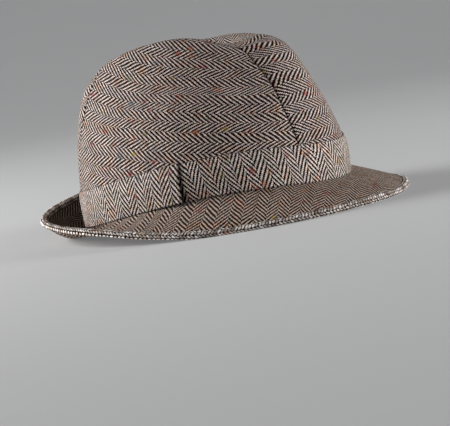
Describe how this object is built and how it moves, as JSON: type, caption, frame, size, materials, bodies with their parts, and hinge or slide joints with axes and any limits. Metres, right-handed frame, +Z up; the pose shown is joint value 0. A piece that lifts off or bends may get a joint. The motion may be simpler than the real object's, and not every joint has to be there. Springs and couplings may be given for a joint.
{
  "type": "tweed trilby hat",
  "caption": "Short-brimmed cut-and-sewn hat in herringbone tweed with a dented, pinched crown, a self-cloth band, a turned-up back and a rolled brim edge.",
  "frame": {"origin": "centre of the hat's footprint, on the surface that it rests on", "axes": "+X to the front of the hat, +Y to the wearer's left, +Z up"},
  "size_m": [0.2852, 0.2512, 0.1377],
  "materials": {
    "crown_cloth": "herringbone wool tweed, light and dark yarns with coloured flecks, matt and slightly hairy",
    "band_cloth": "herringbone wool tweed with its columns upright, matt",
    "brim_cloth": "herringbone wool tweed, browner and darker, matt",
    "edge_cloth": "rolled and stitched tweed edge, matt and slightly hairy"
  },
  "bodies": {
    "root": {"crown_side_left": "crown_cloth", "crown_side_right": "crown_cloth", "crown_centre": "crown_cloth", "hat_band": "band_cloth", "brim": "brim_cloth", "brim_edge": "edge_cloth"}
  },
  "joints": []
}
